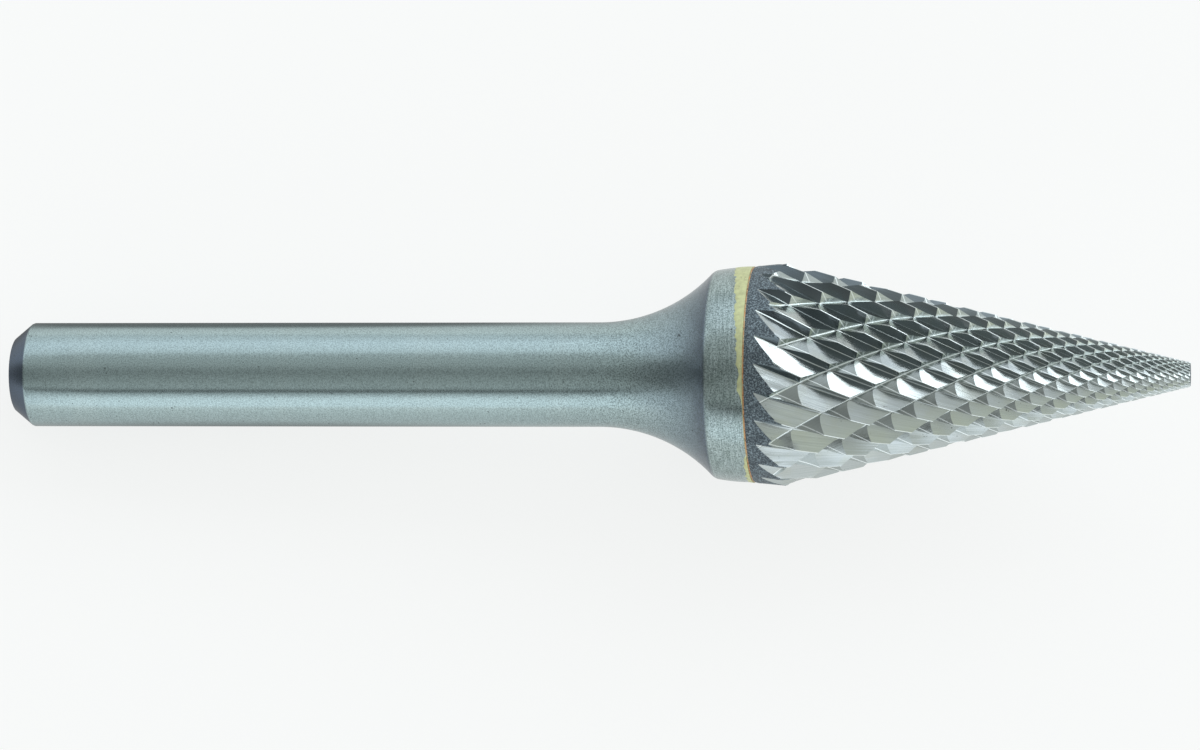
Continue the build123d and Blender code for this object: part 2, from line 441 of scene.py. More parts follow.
def make_shank_material(settings):
    material, net, shader = new_material("shank_steel")
    coordinates = tool_coordinates(net)
    along, y, z = net.parts(coordinates)
    rings, rings_tone = wheel_marks(net, coordinates, spacing=0.045)
    turning = net.vector(along, y * TURNING_STRETCH, z * TURNING_STRETCH)
    _, turned_tone = wheel_marks(net, turning, spacing=0.055)
    specks = specks_on(net, coordinates, size=0.22, amount=0.52)
    clouds = net.noise(coordinates, scale=0.9, detail=4.0, roughness=0.6)
    stretched = net.vector(*(part * scale for part, scale in zip((along, y, z), BAND_SCALE)))
    bands = net.noise(stretched, scale=1.0)
    grain = net.noise(coordinates, scale=13.0, roughness=0.8)

    collar_from = collar_start(settings) / MM
    on_collar = net.rising(along, collar_from - 0.05, 7.0)
    on_chamfer = net.falling(along, CHAMFER_LENGTH / MM, 12.0)
    near_joint = net.rising(along, FLARE_START / MM + GRAIN_FROM, 1 / GRAIN_LENGTH)
    uneven_along = along + (clouds - 0.5) * 1.2
    # oxide near the collar, made darker so that it also paints the room's dark side as mirrored by
    # the flare
    oxide_and_reflection_share = net.rising(uneven_along, collar_from - OXIDE_AND_REFLECTION_LENGTH, 1 / OXIDE_AND_REFLECTION_LENGTH)
    oxide_with_painted_reflection = net.layered(settings.oxide_and_dark_reflection, (net.rising(oxide_and_reflection_share, 0.475, 2.0), DEEP_OXIDE_AND_DARK_REFLECTION))
    collar = net.layered(
        settings.collar_steel,
        (net.rising(clouds, 0.46, 5.0) * 0.6, COLLAR_STAIN),
        (turned_tone * 0.70, TURNING_MARK),
    )
    dark_grain = net.ramp(grain, [(0.40, 1.0), (0.56, 0.0)]) * (0.42 + 0.30 * near_joint)
    steel = net.layered(
        settings.steel,
        (rings_tone * 0.35, DULL_STEEL),
        (net.rising(bands, 0.5, 2.5) * 0.35, BRIGHT_STEEL),
        (oxide_and_reflection_share * 0.88, oxide_with_painted_reflection),
        (on_collar, collar),
        (on_chamfer * 0.95, settings.chamfer_steel),
        (dark_grain, STEEL_GRAIN),
        (specks * 0.8, STEEL_SPECK),
    )
    roughness = 0.23 + rings_tone * 0.06 + near_joint * 0.04 + specks * 0.3
    height = rings * (1.0 - 0.4 * near_joint) - specks * 0.6 - dark_grain * 0.12
    finish_surface(
        net, shader, colour=steel, metallic=1.0, roughness=roughness, height=height, depth=0.0022
    )
    shader.inputs["Anisotropic"].default_value = 0.8
    net.join(net.vector(*AXIS), shader.inputs["Tangent"])
    return material


def make_filler_material(settings):
    material, net, shader = new_material("braze_filler")
    coordinates = tool_coordinates(net)
    ripple = net.noise(coordinates, scale=3.5, detail=4.0, roughness=0.6)
    specks = specks_on(net, coordinates, size=0.16, amount=0.55)
    tone = net.layered(
        settings.filler,
        (net.rising(ripple, 0.4, 3.0), DULL_FILLER),
        (specks, FILLER_SPECK),
    )
    roughness, height = 0.38 + ripple * 0.2, ripple - specks
    finish_surface(
        net, shader, colour=tone, metallic=0.75, roughness=roughness, height=height, depth=0.012
    )
    return material


def make_copper_material(settings):
    material, net, shader = new_material("copper")
    coordinates = tool_coordinates(net)
    ripple = net.noise(coordinates, scale=6.0, detail=4.0, roughness=0.65)
    patches = net.noise(coordinates, scale=1.7, detail=3.0, roughness=0.6)
    tone = net.layered(
        settings.copper,
        (net.rising(patches, 0.45, 5.0), FILLER_ON_COPPER),
        (net.ramp(ripple, [(0.36, 1.0), (0.48, 0.0)]) * 0.8, DARK_COPPER),
    )
    roughness = 0.35 + ripple * 0.25
    finish_surface(
        net, shader, colour=tone, metallic=0.8, roughness=roughness, height=ripple, depth=0.01
    )
    return material


def make_carbide_material(settings):
    """Bright ground teeth in a dark sintered skin. The marks follow the net of the teeth."""
    material, net, shader = new_material("carbide")
    coordinates = tool_coordinates(net)

    def attribute(name, output="Fac"):
        return net.field("ShaderNodeAttribute", output=output, attribute_name=name)

    ground, notch, cutting_face = (attribute(name) for name in ("ground", "notch", "cutting_face"))
    flute, cross, _ = net.parts(attribute("tooth_net", "Vector"))
    flat = 1.0 - notch
    flute_height, flute_tone = wheel_marks(
        net, net.vector(flute, cross), spacing=0.045, unevenness=0.55
    )
    cross_height, cross_tone = wheel_marks(
        net, net.vector(cross, flute, 3.0), spacing=0.022, unevenness=0.3
    )
    marks = flute_height * flat + cross_height * notch
    tone = flute_tone * flat + cross_tone * notch
    grain = net.noise(coordinates, scale=11.0, detail=3.0, roughness=0.75)
    clouds = net.noise(coordinates, scale=0.8, detail=3.0)
    specks = specks_on(net, coordinates, size=0.20, amount=0.50)

    # painted highlights: a narrow light line along each flute's crest and along each cross-cut's
    # steep wall
    _, y, z = net.parts(coordinates)
    radius = net.math("SQRT", y * y + z * z)
    crest = settings.back_share + (settings.root_floor - settings.edge_land) / 2
    past_flute = net.math("FRACT", settings.root_floor / 2 - flute)
    past_cross_cut = net.math("FRACT", cross)
    from_crest = net.size_of(past_flute - crest) * radius * (2 * pi / settings.flutes)
    from_root = past_cross_cut * radius * (2 * pi / settings.cross_cuts)
    edge_highlight = net.most(
        net.falling(from_crest, *CREST_LINE) * 0.9,
        net.falling(from_root, *STEP_LINE) * notch,
    )

    on_long_slope = net.above(past_cross_cut, 0.5) * notch
    shaded_wall = cutting_face * flat * net.clamped(0.25 + radius * 0.09)
    bright = net.layered(
        settings.ground,
        (tone * 0.5, DULL_CARBIDE),
        (net.rising(clouds, 0.48, 3.0) * 0.5, WARM_CARBIDE),
        (shaded_wall, SHADED_WALL),
        (on_long_slope * 0.45, SHADED_NOTCH),
        (edge_highlight, PAINTED_EDGE_HIGHLIGHT),
        (specks * 0.85, CARBIDE_SPECK),
    )
    skin = net.layered(
        settings.skin,
        (net.rising(grain, 0.47, 7.0), SKIN_GRAIN),
        (net.falling(clouds, 0.47, 4.0) * 0.6, SKIN_STAIN),
    )
    unground = 1.0 - ground
    ground_roughness = 0.14 + tone * 0.10 + edge_highlight * 0.22
    roughness = (0.50 + grain * 0.2) * unground + ground_roughness * ground
    height = marks * ground * 0.8 + grain * unground * 1.6
    carbide = net.layered(skin, (ground, bright))
    finish_surface(
        net, shader, colour=carbide, metallic=1.0, roughness=roughness, height=height, depth=0.014
    )
    return material


# ---- turned pieces ---------------------------------------------------------------------------
TURN_STEPS = 288
SWEEP_STEPS, COLLAR_STEPS, GRIP_STEPS, CORNER_STEPS, LIP_STEPS = 40, 12, 8, 6, 8
SHARP_EDGE = radians(25)
CHAMFER_BREAK = 0.06 * MM              # small breaks where the chamfer starts and ends
UNDER_FILLER = 0.02 * MM               # steel and filler stop or start this far behind the shim


def steps_between(start, end, steps):
    return [start + (end - start) * step / steps for step in range(steps + 1)]


def arc(start, end, centre, steps):
    """Points of the short arc from start to end about a centre, all as (along, radius)."""
    first = Vector(start) - Vector(centre)
    sweep = first.angle_signed(Vector(end) - Vector(centre))
    points = []
    for turn in steps_between(0, -sweep, steps):
        spoke = Vector(first)
        spoke.rotate(Matrix.Rotation(turn, 2))
        points.append((centre[0] + spoke.x, centre[1] + spoke.y))
    return points


def bow(start, end, rise, steps):
    """Points of a shallow curve from start to end that stands out by rise in the middle."""
    points = []
    for t in steps_between(0, 1, steps):
        along = start[0] + (end[0] - start[0]) * t
        radius = start[1] + (end[1] - start[1]) * t + 4 * rise * t * (1 - t)
        points.append((along, radius))
    return points


def rounded_corner(before, after, size):
    """Joins two runs of points with a round that starts and ends a distance from the corner."""
    corner = Vector(after[0])
    kept_before = [point for point in before if (Vector(point) - corner).length > size]
    kept_after = [point for point in after if (Vector(point) - corner).length > size]
    into = corner + (Vector(before[-2]) - corner).normalized() * size
    out = corner + (Vector(after[1]) - corner).normalized() * size
    blend = []
    for t in steps_between(0, 1, CORNER_STEPS):
        point = into * (1 - t) ** 2 + corner * 2 * t * (1 - t) + out * t**2
        blend.append(tuple(point))
    return kept_before + blend + kept_after


def turn_outline(name, outline_at):
    """A closed solid of revolution. outline_at(angle) gives the outline from axis to axis."""
    mesh = bmesh.new()
    rings = []
    ends = []
    for step in range(TURN_STEPS):
        turn = 2 * pi * step / TURN_STEPS
        outline = outline_at(turn)
        if not ends:
            ends = [mesh.verts.new((outline[place][0], 0, 0)) for place in (0, -1)]
        rings.append(
            [mesh.verts.new((x, -r * cos(turn), r * sin(turn))) for x, r in outline[1:-1]]
        )
    for ring, following in zip(rings, rings[1:] + rings[:1]):
        for a, b, c, d in zip(ring, ring[1:], following[1:], following):
            mesh.faces.new((a, b, c, d))
        mesh.faces.new((ends[0], ring[0], following[0]))
        mesh.faces.new((ends[1], following[-1], ring[-1]))
    bmesh.ops.transform(mesh, matrix=TOOL_MATRIX, verts=mesh.verts)
    bmesh.ops.recalc_face_normals(mesh, faces=mesh.faces)
    data = bpy.data.meshes.new(name)
    mesh.to_mesh(data)
    mesh.free()
    data.shade_smooth()
    data.set_sharp_from_angle(angle=SHARP_EDGE)
    piece = bpy.data.objects.new(name, data)
    bpy.context.scene.collection.objects.link(piece)
    return piece


def collar_start(settings):
    """Where the hollow sweep ends, along the axis."""
    rise = settings.collar_edge_radius - SHANK_RADIUS
    return FLARE_START + sqrt(settings.flare_radius**2 - (settings.flare_radius - rise) ** 2)


def collar_radius_at(settings, along):
    """Radius of the crowned collar, carried on to the shim."""
    edge = settings.collar_edge_radius
    t = min(1, max(0, (along - collar_start(settings)) / settings.collar_length))
    return edge + (settings.collar_radius - edge) * t + 4 * settings.collar_crown * t * (1 - t)


def shank_outline(settings):
    flat = settings.end_radius
    slope = Vector((CHAMFER_LENGTH, SHANK_RADIUS - flat)).normalized() * CHAMFER_BREAK
    start, end = collar_start(settings), SHIM_START - UNDER_FILLER
    centre = (FLARE_START, SHANK_RADIUS + settings.flare_radius)
    sweep_end = (start, settings.collar_edge_radius)
    sweep = arc((FLARE_START, SHANK_RADIUS), sweep_end, centre, SWEEP_STEPS)
    collar = [
        (along, collar_radius_at(settings, along))
        for along in steps_between(start, end, COLLAR_STEPS)
    ]
    grip = steps_between(CHAMFER_LENGTH, FLARE_START, GRIP_STEPS)[1:-1]
    return [
        (0, 0),
        (0, flat - CHAMFER_BREAK),
        (slope.x, flat + slope.y),
        (CHAMFER_LENGTH - slope.x, SHANK_RADIUS - slope.y),
        (CHAMFER_LENGTH + CHAMFER_BREAK, SHANK_RADIUS),
        *((along, SHANK_RADIUS) for along in grip),
        *rounded_corner(sweep, collar, settings.edge_break),
        (end, 0),
    ]


# How far the filler ran back over the collar from the shim, in millimetres, by the angle upwards
# from the camera's side. It ran far on one side and hardly at all on another.
SMEAR = (
    (-180, 0.55), (-125, 0.20), (-78, 0.26), (-52, 0.18), (-47, 0.0), (-16, 0.02), (-12, 0.12),
    (-8, 0.24), (-1, 0.17), (8, 0.30), (30, 0.50), (50, 0.66), (75, 0.96), (120, 1.05), (180, 0.55),
)
SMEAR_WAVES, SMEAR_RIPPLES = 0.07, 0.12  # mm, at full strength where the smear is wide
WIDE_SMEAR = 0.2                       # mm
FULL_LIP = 0.10 * MM                   # a narrower smear is thinner too
LEAST_SMEAR = 0.02 * MM
SUNK_SMEAR = 0.01 * MM                 # where nothing shows, the filler stays under the collar
SMEAR_ROOT = 0.06 * MM                 # the smear's underside, below the collar
SHIM_PROUD = 0.012 * MM
SHIM_UNEVEN = 0.025 * MM
SHIM_BREAK = 0.02 * MM


def between(table, position):
    """The value of a table of (position, value) rows at a position."""
    for (before, low), (after, high) in zip(table, table[1:]):
        if before <= position <= after:
            return low + (high - low) * (position - before) / (after - before)


def uneven_round(turn, frequency, octaves, shift=(0, 0, 0)):
    """A smooth uneven value that closes on itself round the tool."""
    place = Vector((cos(turn), sin(turn), 0)) * frequency + Vector(shift)
    return noise.fractal(place, 0.6, 2.0, octaves)


def smear_reach(turn):
    """Width of the filler's band at one angle round the tool."""
    upwards = (turn - CAMERA_TURN + pi) % (2 * pi) - pi
    width = between(SMEAR, upwards * 180 / pi)
    waves = uneven_round(turn, 5.0, 5, (3.1, 0.4, 7.7))
    ripples = uneven_round(turn, 24.0, 4, (9.3, 5.2, 1.1))
    unevenness = SMEAR_WAVES * waves + SMEAR_RIPPLES * ripples
    return (width + unevenness * min(1, width / WIDE_SMEAR)) * MM


def filler_outline(settings, collar, turn):
    """A skin that is thickest at the shim and thins to a rounded edge on the collar."""
    reach = smear_reach(turn)
    shown = min(1, max(0, reach / FULL_LIP))
    width = max(reach, LEAST_SMEAR)
    lift = settings.smear_thickness * shown - SUNK_SMEAR * (1 - shown)
    outer = []
    for t in steps_between(0, 1, LIP_STEPS):
        along = SHIM_START - width * t
        outer.append((along, collar_radius_at(collar, along) + lift * sqrt(1 - t**2)))
    rear, back = SHIM_START - width, SHIM_START - UNDER_FILLER
    rear_root, front_root = (
        collar_radius_at(collar, along) - SMEAR_ROOT for along in (rear, SHIM_START)
    )
    return [(SHIM_START, 0), *outer, (rear, rear_root), (back, front_root), (back, 0)]


def shim_outline(collar, turn):
    """The shim's edge stands a hair past the collar and is slightly uneven."""
    rim = collar.collar_radius + SHIM_PROUD + SHIM_UNEVEN * uneven_round(turn, 22.0, 3)
    return [
        (SHIM_START, 0),
        (SHIM_START, rim - SHIM_BREAK),
        (SHIM_START + SHIM_BREAK, rim),
        (HEAD_START, rim - SHIM_BREAK * 0.4),
        (HEAD_START, 0),
    ]


# ---- cutting head ----------------------------------------------------------------------------
# Both kinds of cut cross the cone at a constant angle. With `reach`, the distance along the cone
# divided by the radius, as a coordinate, every root is a straight line, and the teeth are the
# cells of a net of flute roots and cross-cut roots.
FLOOR_STEPS, BACK_STEPS, LAND_STEPS, WALL_STEPS = 1, 7, 1, 3
COLUMNS = FLOOR_STEPS + BACK_STEPS + LAND_STEPS + WALL_STEPS
ROOT_ROWS, SLOPE_ROWS, MIDDLE_ROWS, STEP_ROWS = 1, 4, 4, 2
ROWS = ROOT_ROWS + SLOPE_ROWS + MIDDLE_ROWS + STEP_ROWS
LEAST_WIDTH = 0.004                    # of a slope or wall that a deep flute has cut away
LEAST_CUT = 0.001                      # share of the depth where a cross-cut hasn't started
WELD_DISTANCE = 2e-7
FRONT_FROM = 6 * MM                    # an open end past this is the one at the point
CRISP_EDGE = radians(14)
BLANK_CLEAR, RIM_RISE, RIM_STEPS = 0.01 * MM, 0.02 * MM, 5
LEAST_HEAD_FACES = 10000

SOCKET_TYPES = {
    int: "NodeSocketInt",
    float: FLOAT,
    tuple: VECTOR,
    bpy.types.Material: "NodeSocketMaterial",
}


def blank_outline(settings):
    """The head before grinding, a little past the tooth tips."""
    base = (HEAD_START, settings.base_radius)
    round_end = (HEAD_START + settings.rim_round_length, settings.rim_round_radius)
    ring = (HEAD_START + settings.rim_length, settings.head_radius + BLANK_CLEAR)
    tip = (TIP, settings.tip_radius + BLANK_CLEAR)
    return [(HEAD_START, 0), *bow(base, round_end, RIM_RISE, RIM_STEPS), ring, tip, (TIP, 0)]


def spread(net, index, runs):
    """The sum of the runs' widths up to the index. Each run, (steps, width), rises evenly."""
    first = 0
    parts = []
    for steps, width in runs:
        parts.append(net.clamped((index - first) / steps) * width)
        first += steps
    return sum(parts[1:], parts[0])


def store(net, geometry, name, value, kind="FLOAT", domain="FACE"):
    """Keeps a value on the geometry under a name."""
    return net.field(
        "GeometryNodeStoreNamedAttribute",
        {"Geometry": geometry, "Name": name, "Value": value},
        data_type=kind,
        domain=domain,
    )


def lay_strips(net, flutes, teeth):
    """One strip of cells along each flute, a unit for each step, with the flute's number."""
    strip = net.field(
        "GeometryNodeMeshGrid",
        {
            "Size X": COLUMNS,
            "Size Y": teeth * ROWS,
            "Vertices X": COLUMNS + 1,
            "Vertices Y": teeth * ROWS + 1,
        },
    )
    places = net.field("GeometryNodeMeshLine", {"Count": flutes, "Offset": (0.0, 0.0, 0.0)})
    copies = net.field("GeometryNodeInstanceOnPoints", {"Points": places, "Instance": strip})
    index = net.field("GeometryNodeInputIndex")
    numbered = store(net, copies, "flute_number", index, domain="INSTANCE")
    return net.field("GeometryNodeRealizeInstances", {"Geometry": numbered})


def shape_teeth(net, given, strips):
    """Bends the strips round the cone and cuts their cells to the teeth's section."""
    # steps to shares of a cell
    x, y, _ = net.parts(net.field("GeometryNodeInputPosition"))
    column_place = x + COLUMNS * 0.5
    row_place = y + given["Teeth per Flute"] * ROWS * 0.5
    column = net.math("ROUND", column_place)
    row = net.math("ROUND", row_place)
    tooth = net.math("FLOOR", (row + 0.25) / ROWS)
    step = row - tooth * ROWS
    floor, land = given["Flute Floor"], given["Edge Land"]
    crest = given["Back Share"] + floor * 0.5
    back = crest - floor - land
    wall = 1.0 - crest
    down = spread(
        net,
        column,
        ((FLOOR_STEPS, floor), (BACK_STEPS, back), (LAND_STEPS, land), (WALL_STEPS, wall)),
    )
    on_back = net.clamped((down - floor) / back)
    on_wall = net.clamped((down - crest) / wall)
    hollow = given["Back Hollow"]
    flute_share = 1.0 - on_back * (1.0 - hollow) - on_back * on_back * hollow + on_wall
    flute_depth = flute_share * given["Flute Depth"]

    # places in the net of roots: reach, and the angle round the cone
    flute_number = net.field(
        "GeometryNodeInputNamedAttribute", {"Name": "flute_number"}, data_type="FLOAT"
    )
    flute_pitch = 2 * pi / given["Flutes"]
    cross_pitch = 2 * pi / given["Cross-cuts"]
    slopes = given["Flute Slope"] + given["Cross-cut Slope"]
    offset = given["First Flute"] - given["First Cross-cut"]
    rear_angle = offset + flute_number * flute_pitch - given["Rear Reach"] * slopes
    rearmost = net.math("CEIL", rear_angle / cross_pitch)
    flute = flute_number - down + floor * 0.5

    def reach_at(cross):
        return (offset + flute * flute_pitch - cross * cross_pitch) / slopes

    def cross_depth_at(cross):
        start, full = given["Cross-cut Start"], given["Cross-cut Full"]
        fading_in = net.clamped((reach_at(cross) - start) / (full - start))
        return given["Cross-cut Depth"] * net.most(fading_in, LEAST_CUT)

    # the cross-cut's slope and wall end where the flute is as deep as they are
    rear_cut = rearmost - tooth
    rear_depth, front_depth = cross_depth_at(rear_cut), cross_depth_at(rear_cut - 1.0)
    cross_floor = given["Cross-cut Floor"]
    slope, step_wall = given["Cross-cut Back"], given["Cross-cut Wall"]
    slope_width, wall_width = (
        net.most(width * net.clamped(1.0 - flute_depth / depth), LEAST_WIDTH)
        for width, depth in ((slope, rear_depth), (step_wall, front_depth))
    )
    middle_width = 1.0 - cross_floor - slope_width - wall_width
    along = spread(
        net,
        step,
        (
            (ROOT_ROWS, cross_floor),
            (SLOPE_ROWS, slope_width),
            (MIDDLE_ROWS, middle_width),
            (STEP_ROWS, wall_width),
        ),
    )
    on_slope = net.clamped((along - cross_floor) / slope)
    on_step = net.clamped((along - (1.0 - step_wall)) / step_wall)
    notch_depth = (1.0 - on_slope) * rear_depth + on_step * front_depth
    depth = net.most(flute_depth, notch_depth)

    # shares of a cell to places on the cone
    cross = rear_cut - along + cross_floor * 0.5
    reach = reach_at(cross)
    turn = given["First Flute"] + flute * flute_pitch - given["Flute Slope"] * reach
    head_radius, taper = given["Head Radius"], given["Taper"]
    shrinking = net.most(reach, 0.0) * net.math("SINE", taper) * -1.0
    cone_radius = head_radius * net.math("EXPONENT", shrinking)
    behind_ring = head_radius * net.least(reach, 0.0)
    distance = behind_ring + (head_radius - cone_radius) / net.math("TANGENT", taper)
    land_reach, run_in_share = given["Land Reach"], given["Run-in Share"]
    run_in = net.clamped((reach - land_reach) / (given["Full Reach"] - land_reach))
    deepening = run_in_share + (1.0 - run_in_share) * run_in
    lift_share = net.most((land_reach - reach) / (land_reach - given["Mouth Reach"]), 0.0)
    lift = lift_share * run_in_share * given["Flute Depth"] * head_radius
    radius = cone_radius * (1.0 - depth * deepening) + lift
    place = net.vector(
        distance, radius * net.math("COSINE", turn) * -1.0, radius * net.math("SINE", turn)
    )

    # marks for the finish, kept on face corners so that they stay whole where strips meet
    step_middle = row_place - net.math("FLOOR", row_place / ROWS) * ROWS
    in_slope = net.math("LESS_THAN", step_middle, float(ROOT_ROWS + SLOPE_ROWS))
    in_step = net.above(step_middle, float(ROWS - STEP_ROWS))
    in_wall = net.above(column_place, float(COLUMNS - WALL_STEPS))
    teeth = store(net, strips, "tooth_net", net.vector(flute, cross), "FLOAT_VECTOR", "CORNER")
    for name, value in (("notch", in_slope + in_step), ("cutting_face", in_wall), ("ground", 1.0)):
        teeth = store(net, teeth, name, value)
    return net.field("GeometryNodeSetPosition", {"Geometry": teeth, "Position": place})


def close_ends(net, given, teeth):
    """Joins the strips and draws both open ends to a point on the axis."""
    weld = {"Distance": WELD_DISTANCE}
    skin = net.field("GeometryNodeMergeByDistance", {"Geometry": teeth, **weld})
    faces_at_edge = net.field("GeometryNodeInputMeshEdgeNeighbors")
    open_edge = net.field(
        "FunctionNodeCompare", {2: faces_at_edge, 3: 1}, data_type="INT", operation="EQUAL"
    )
    closed = net.node(
        "GeometryNodeExtrudeMesh",
        {"Mesh": skin, "Selection": open_edge, "Offset Scale": 0.0},
        mode="EDGES",
    )
    x, _, _ = net.parts(net.field("GeometryNodeInputPosition"))
    at_front = net.above(x, FRONT_FROM)
    end = at_front * given["Front End"] + (1.0 - at_front) * given["Rear End"]
    pointed = net.field(
        "GeometryNodeSetPosition",
        {
            "Geometry": closed.outputs["Mesh"],
            "Selection": closed.outputs["Top"],
            "Position": net.vector(end),
        },
    )
    return net.field("GeometryNodeMergeByDistance", {"Geometry": pointed, **weld})


def make_teeth_tree(values):
    """Keeps what the blank shares with the shape of the teeth. Its inputs are named in values."""
    inputs = [("Blank", "NodeSocketGeometry")]
    inputs += [(name, SOCKET_TYPES[type(value)], value) for name, value in values.items()]
    net, given, sink = new_group(
        "Grind double-cut teeth", "GeometryNodeTree", inputs, [("Head", "NodeSocketGeometry")]
    )
    strips = lay_strips(net, given["Flutes"], given["Teeth per Flute"])
    whole = close_ends(net, given, shape_teeth(net, given, strips))
    laid = net.field(
        "GeometryNodeTransform",
        {
            "Geometry": whole,
            "Translation": given["Tool Position"],
            "Rotation": net.vector(0.0, given["Tool Tilt"] * -1.0, 0.0),
        },
    )
    cut = net.node("GeometryNodeMeshBoolean", operation="INTERSECT", solver="MANIFOLD")
    for solid in (given["Blank"], laid):
        net.join(solid, cut.inputs["Mesh 2"])
    smooth = net.field(
        "GeometryNodeSetShadeSmooth",
        {"Geometry": cut.outputs["Mesh"], "Shade Smooth": True},
        domain="FACE",
    )
    sharp = net.above(net.field("GeometryNodeInputMeshEdgeAngle"), CRISP_EDGE)
    crisp = net.field(
        "GeometryNodeSetShadeSmooth",
        {"Geometry": smooth, "Selection": sharp, "Shade Smooth": False},
        domain="EDGE",
    )
    real = net.field("GeometryNodeRealizeInstances", {"Geometry": crisp})
    finished = net.field(
        "GeometryNodeSetMaterial", {"Geometry": real, "Material": given["Carbide"]}
    )
    net.join(finished, sink["Head"])
    return net.tree


def teeth_values(settings, material):
    """The tree's inputs, worked out from the head's settings."""
    ring_radius = settings.head_radius
    flute_slope, cross_slope = tan(settings.flute_helix), tan(settings.cross_helix)
    cone_length = TIP - HEAD_START - settings.rim_length
    taper = atan((ring_radius - settings.tip_radius) / cone_length)
    tip_reach = log(ring_radius / settings.tip_radius) / sin(taper)
    rear_reach = -settings.rim_length / ring_radius - 0.1
    span = (tip_reach - rear_reach) * (flute_slope + cross_slope) + 2 * pi / settings.flutes
    return {
        "Flutes": settings.flutes,
        "Cross-cuts": settings.cross_cuts,
        "Teeth per Flute": int(span / (2 * pi / settings.cross_cuts)) + 2,
        "Flute Slope": flute_slope,
        "Cross-cut Slope": cross_slope,
        "Flute Depth": settings.flute_depth,
        "Cross-cut Depth": settings.cross_depth,
        "Back Share": settings.back_share,
        "Back Hollow": settings.back_hollow,
        "Cross-cut Back": settings.cross_back,
        "Cross-cut Wall": settings.cross_wall,
        "Flute Floor": settings.root_floor,
        "Cross-cut Floor": settings.cross_floor,
        "Edge Land": settings.edge_land,
        "First Flute": settings.first_flute,
        "First Cross-cut": settings.first_cross_cut,
        "Head Radius": ring_radius,
        "Taper": taper,
        "Rear Reach": rear_reach,
        "Mouth Reach": -settings.mouth_setback / ring_radius,
        "Cross-cut Start": -settings.cross_start / ring_radius,
        "Cross-cut Full": 0.0,
        "Land Reach": settings.land_length / ring_radius,
        "Full Reach": settings.run_in_length / ring_radius,
        "Run-in Share": settings.run_in_share,
        "Rear End": -2 * ring_radius,
        "Front End": cone_length + 4 * settings.tip_radius,
        "Tool Position": tuple(REAR_CENTRE + AXIS * (HEAD_START + settings.rim_length)),
        "Tool Tilt": TILT,
        "Carbide": material,
    }


def grind_teeth(piece, values):
    """Runs the tree on a piece and turns the result into a plain mesh."""
    modifier = piece.modifiers.new("teeth", "NODES")
    modifier.node_group = make_teeth_tree(values)
    for item in modifier.node_group.interface.items_tree:
        if item.in_out == "INPUT" and item.name in values:
            modifier[item.identifier] = values[item.name]
    graph = bpy.context.evaluated_depsgraph_get()
    data = bpy.data.meshes.new_from_object(
        piece.evaluated_get(graph), preserve_all_data_layers=True, depsgraph=graph
    )
    piece.modifiers.clear()
    blank = piece.data
    piece.data = data
    bpy.data.meshes.remove(blank)
    data.name = piece.name


# ---- operators -------------------------------------------------------------------------------
def finish_piece(piece, material, node):
    if material.name not in piece.data.materials:
        piece.data.materials.append(material)
    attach(piece, "root")
    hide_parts(node)


class BURR_OT_effects(Operator):
    """Make the wheel marks and specks that the finishes share"""

    bl_idname = "burr.effects"
    bl_label = "Shared effects"

    def execute(self, context):
        make_grinding_group()
        make_speckle_group()
        return {"FINISHED"}


class BURR_OT_shank(Operator):
    """Turn the shank with its chamfer, flare and collar"""

    bl_idname = "burr.shank"
    bl_label = "Shank"

    def execute(self, context):
        settings = context.scene.burr_shank
        outline = shank_outline(settings)
        piece = turn_outline("ground_shank", lambda turn: outline)
        finish_piece(piece, make_shank_material(settings), "shank")
        return {"FINISHED"}


class BURR_OT_braze(Operator):
    """Run the braze filler over the collar and set the copper shim's edge"""

    bl_idname = "burr.braze"
    bl_label = "Brazed joint"

    def execute(self, context):
        settings = context.scene.burr_braze
        collar = context.scene.burr_shank
        filler = turn_outline("frozen_filler", lambda turn: filler_outline(settings, collar, turn))
        finish_piece(filler, make_filler_material(settings), "braze_filler")
        shim = turn_outline("shim_edge", lambda turn: shim_outline(collar, turn))
        finish_piece(shim, make_copper_material(settings), "copper_shim")
        return {"FINISHED"}


class BURR_OT_head(Operator):
    """Grind the double-cut teeth into the carbide blank"""

    bl_idname = "burr.head"
    bl_label = "Cutting head"

    def execute(self, context):
        settings = context.scene.burr_head
        outline = blank_outline(settings)
        piece = turn_outline("ground_head", lambda turn: outline)
        material = make_carbide_material(settings)
        grind_teeth(piece, teeth_values(settings, material))
        if len(piece.data.polygons) < LEAST_HEAD_FACES:
            raise RuntimeError("The teeth didn't cut: the head has too few faces.")
        finish_piece(piece, material, "cutting_head")
        return {"FINISHED"}


# ---- stage -----------------------------------------------------------------------------------
FLOOR_HALF = 2.0
SOFTBOX_DISTANCE = 0.6
FAR_PLACE, FAR_SIZE = (63, 36), (0.70, 0.34)    # degrees upwards and towards the tip, and metres
NEAR_PLACE, NEAR_SIZE = (-73, 0), (0.80, 0.46)

# Brightness of the room round the tool, by the angle upwards from the camera's direction.
# The camera's side is dim, a gap below it is dark, and both sides are bright.
ROOM = (
    (-180, 0.70), (-110, 0.85), (-77, 1.00), (-60, 0.95), (-44, 0.74), (-42, 0.05), (-36, 0.05),
    (-34, 0.58), (-16, 0.50), (0, 0.42), (16, 0.50), (47, 0.60), (53, 0.92), (76, 1.12),
    (99, 0.85), (122, 0.67), (180, 0.70),
)
ROOM_PEAK = 1.2                        # a ramp holds at most 1, so the room is scaled by this
